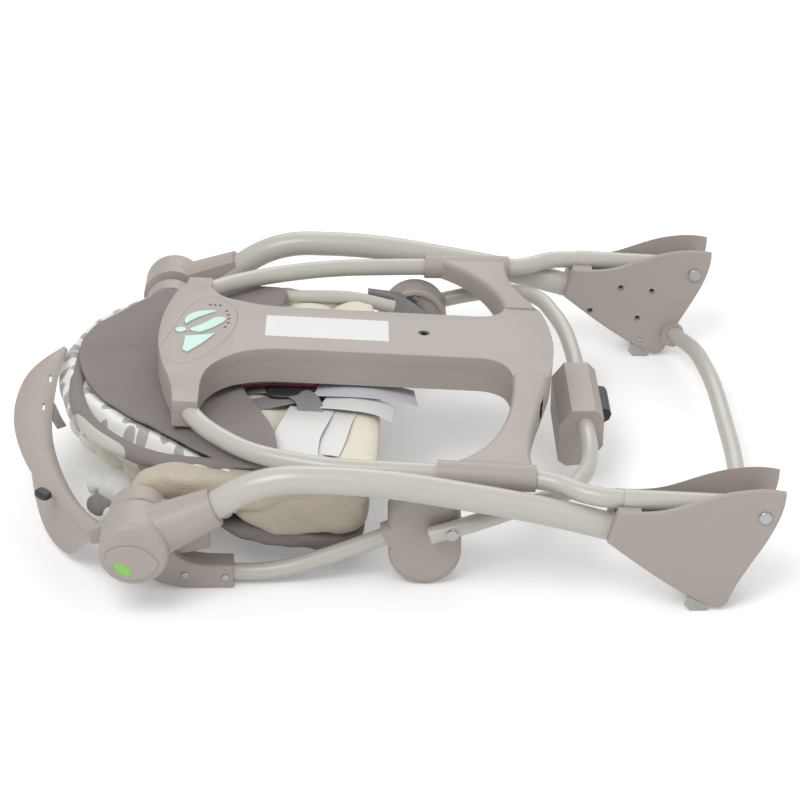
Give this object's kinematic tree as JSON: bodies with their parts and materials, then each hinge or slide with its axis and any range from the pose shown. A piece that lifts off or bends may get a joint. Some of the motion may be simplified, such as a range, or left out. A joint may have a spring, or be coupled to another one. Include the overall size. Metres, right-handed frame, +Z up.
{
  "type": "folding baby swing",
  "caption": "Folding powered baby swing, stored flat: tube stand with moulded feet and hubs, console ring, swing arms, reclining padded seat, leg frame and toy bar.",
  "frame": {"origin": "bottom centre of the folded swing's bounding box, on the floor", "axes": "+X from the hubs and console towards the feet, +Y to the swing's left side, +Z up"},
  "size_m": [0.6996, 0.5704, 0.153],
  "materials": {
    "frame_tube": "warm grey powder coat, satin",
    "grey_plastic": "fine matt moulded surface",
    "dark_plastic": "matt dark grey",
    "mint_plastic": "satin translucent mint",
    "green_window": "glossy green",
    "clear_rubber": "translucent soft bumper",
    "steel": "plain zinc-plated steel",
    "brass_gear": "machined brass",
    "nylon": "natural nylon",
    "cell_wrap": "printed-metal cell jacket, plain",
    "circuit": "circuit board",
    "label_film": "plain white film",
    "pocket_cloth": "dark taupe woven cloth",
    "cream_quilt": "cream quilted cloth",
    "beige_plush": "beige short plush",
    "webbing": "grey woven webbing",
    "white_plush": "white short plush"
  },
  "bodies": {
    "stand": {"side_tubes": "frame_tube", "foot_outer_shells": "grey_plastic", "foot_inner_shells": "grey_plastic", "cross_tube": "frame_tube", "fold_pins": "dark_plastic", "foot_pads": "clear_rubber", "hub_outer_shells": "grey_plastic", "hub_inner_shells": "grey_plastic", "hub_caps": "grey_plastic", "lock_indicators": "green_window", "drive_motor": "steel"},
    "release_lever_right": {"release_lever_right": "dark_plastic"},
    "release_lever_left": {"release_lever_left": "dark_plastic"},
    "ring": {"ring_tubes": "frame_tube", "ring_sleeves": "frame_tube", "yoke_arms": "grey_plastic", "console_top": "grey_plastic", "console_bottom": "grey_plastic", "control_panel": "mint_plastic", "light_windows": "mint_plastic", "battery_door": "grey_plastic", "batteries": "cell_wrap", "battery_contacts": "steel", "control_board": "circuit", "speaker": "dark_plastic", "power_inlet": "dark_plastic", "instruction_label": "label_film", "console_screws": "steel"},
    "button_petal": {"button_petal": "mint_plastic"},
    "button_oval": {"button_oval": "mint_plastic"},
    "button_volume": {"button_volume": "mint_plastic"},
    "button_power": {"button_power": "mint_plastic"},
    "arms": {"swing_axles": "steel", "drive_gear": "nylon", "swing_arms": "grey_plastic", "seat_tubes": "frame_tube", "arm_rivets": "steel", "bracket_shells": "grey_plastic", "bracket_covers": "grey_plastic", "bracket_screws": "steel"},
    "seat": {"back_loop": "frame_tube", "seat_plates": "steel", "back_panel": "pocket_cloth", "head_pillow": "cream_quilt", "seat_lining": "cream_quilt", "side_bolsters": "beige_plush", "leg_pad": "beige_plush", "harness_webbing": "webbing", "harness_buckle": "dark_plastic", "plush_toy": "white_plush"},
    "leg_frame": {"leg_tube": "frame_tube", "unit_back": "grey_plastic", "unit_front": "grey_plastic", "vibration_drive": "steel", "leg_bolts": "steel"},
    "unit_switch": {"unit_switch": "dark_plastic"},
    "unit_knob": {"unit_knob": "dark_plastic"},
    "toy_bar": {"toy_bar_blade": "grey_plastic", "toy_bar_paddle": "grey_plastic", "toy_bar_ring": "grey_plastic"}
  },
  "joints": [
    {"name": "frame_fold", "type": "hinge", "parent": "stand", "child": "ring", "pos_m": [0.3323, 0, 0.0961], "axis": [0, 1, 0], "range_deg": [0, 288]},
    {"name": "arm_swing", "type": "hinge", "parent": "stand", "child": "arms", "pos_m": [-0.2197, 0, 0.069], "axis": [0, 1, 0], "range_deg": [0, 17.3]},
    {"name": "seat_recline", "type": "hinge", "parent": "arms", "child": "seat", "pos_m": [0.0363, 0, 0.066], "axis": [0, 1, 0], "range_deg": [0, 45]},
    {"name": "leg_fold", "type": "hinge", "parent": "arms", "child": "leg_frame", "pos_m": [0.0603, 0, 0.064], "axis": [0, 1, 0], "range_deg": [0, 45]},
    {"name": "toy_bar_turn", "type": "hinge", "parent": "arms", "child": "toy_bar", "pos_m": [-0.2197, 0, 0.069], "axis": [0, 1, 0], "range_deg": [0, 60]},
    {"name": "release_right", "type": "hinge", "parent": "stand", "child": "release_lever_right", "pos_m": [-0.2197, 0, 0.069], "axis": [0, 1, 0], "range_deg": [0, 12], "stiffness_Nm_per_rad": 0.2, "springref_deg": -5.73},
    {"name": "release_left", "type": "hinge", "parent": "stand", "child": "release_lever_left", "pos_m": [-0.2197, 0, 0.069], "axis": [0, 1, 0], "range_deg": [0, 12], "stiffness_Nm_per_rad": 0.2, "springref_deg": -5.73},
    {"name": "press_petal", "type": "slide", "parent": "ring", "child": "button_petal", "axis": [-0.0629, 0, -0.998], "range_m": [0, 0.0015], "stiffness_N_per_m": 800, "springref_m": -0.0005},
    {"name": "press_oval", "type": "slide", "parent": "ring", "child": "button_oval", "axis": [-0.0629, 0, -0.998], "range_m": [0, 0.0015], "stiffness_N_per_m": 800, "springref_m": -0.0005},
    {"name": "press_volume", "type": "slide", "parent": "ring", "child": "button_volume", "axis": [-0.0629, 0, -0.998], "range_m": [0, 0.0015], "stiffness_N_per_m": 800, "springref_m": -0.0005},
    {"name": "press_power", "type": "slide", "parent": "ring", "child": "button_power", "axis": [-0.0629, 0, -0.998], "range_m": [0, 0.0015], "stiffness_N_per_m": 800, "springref_m": -0.0005},
    {"name": "press_unit_switch", "type": "slide", "parent": "leg_frame", "child": "unit_switch", "axis": [-1, 0, 0], "range_m": [0, 0.001], "stiffness_N_per_m": 600, "springref_m": -0.0005},
    {"name": "turn_unit_knob", "type": "hinge", "parent": "leg_frame", "child": "unit_knob", "pos_m": [0.2143, 0.032, 0.048], "axis": [1, 0, 0], "range_deg": [0, 90]}
  ],
  "couplings": [
    {"joint": "arm_swing", "follows": "frame_fold", "ratio": 0.06},
    {"joint": "seat_recline", "follows": "frame_fold", "ratio": 0.15625}
  ]
}
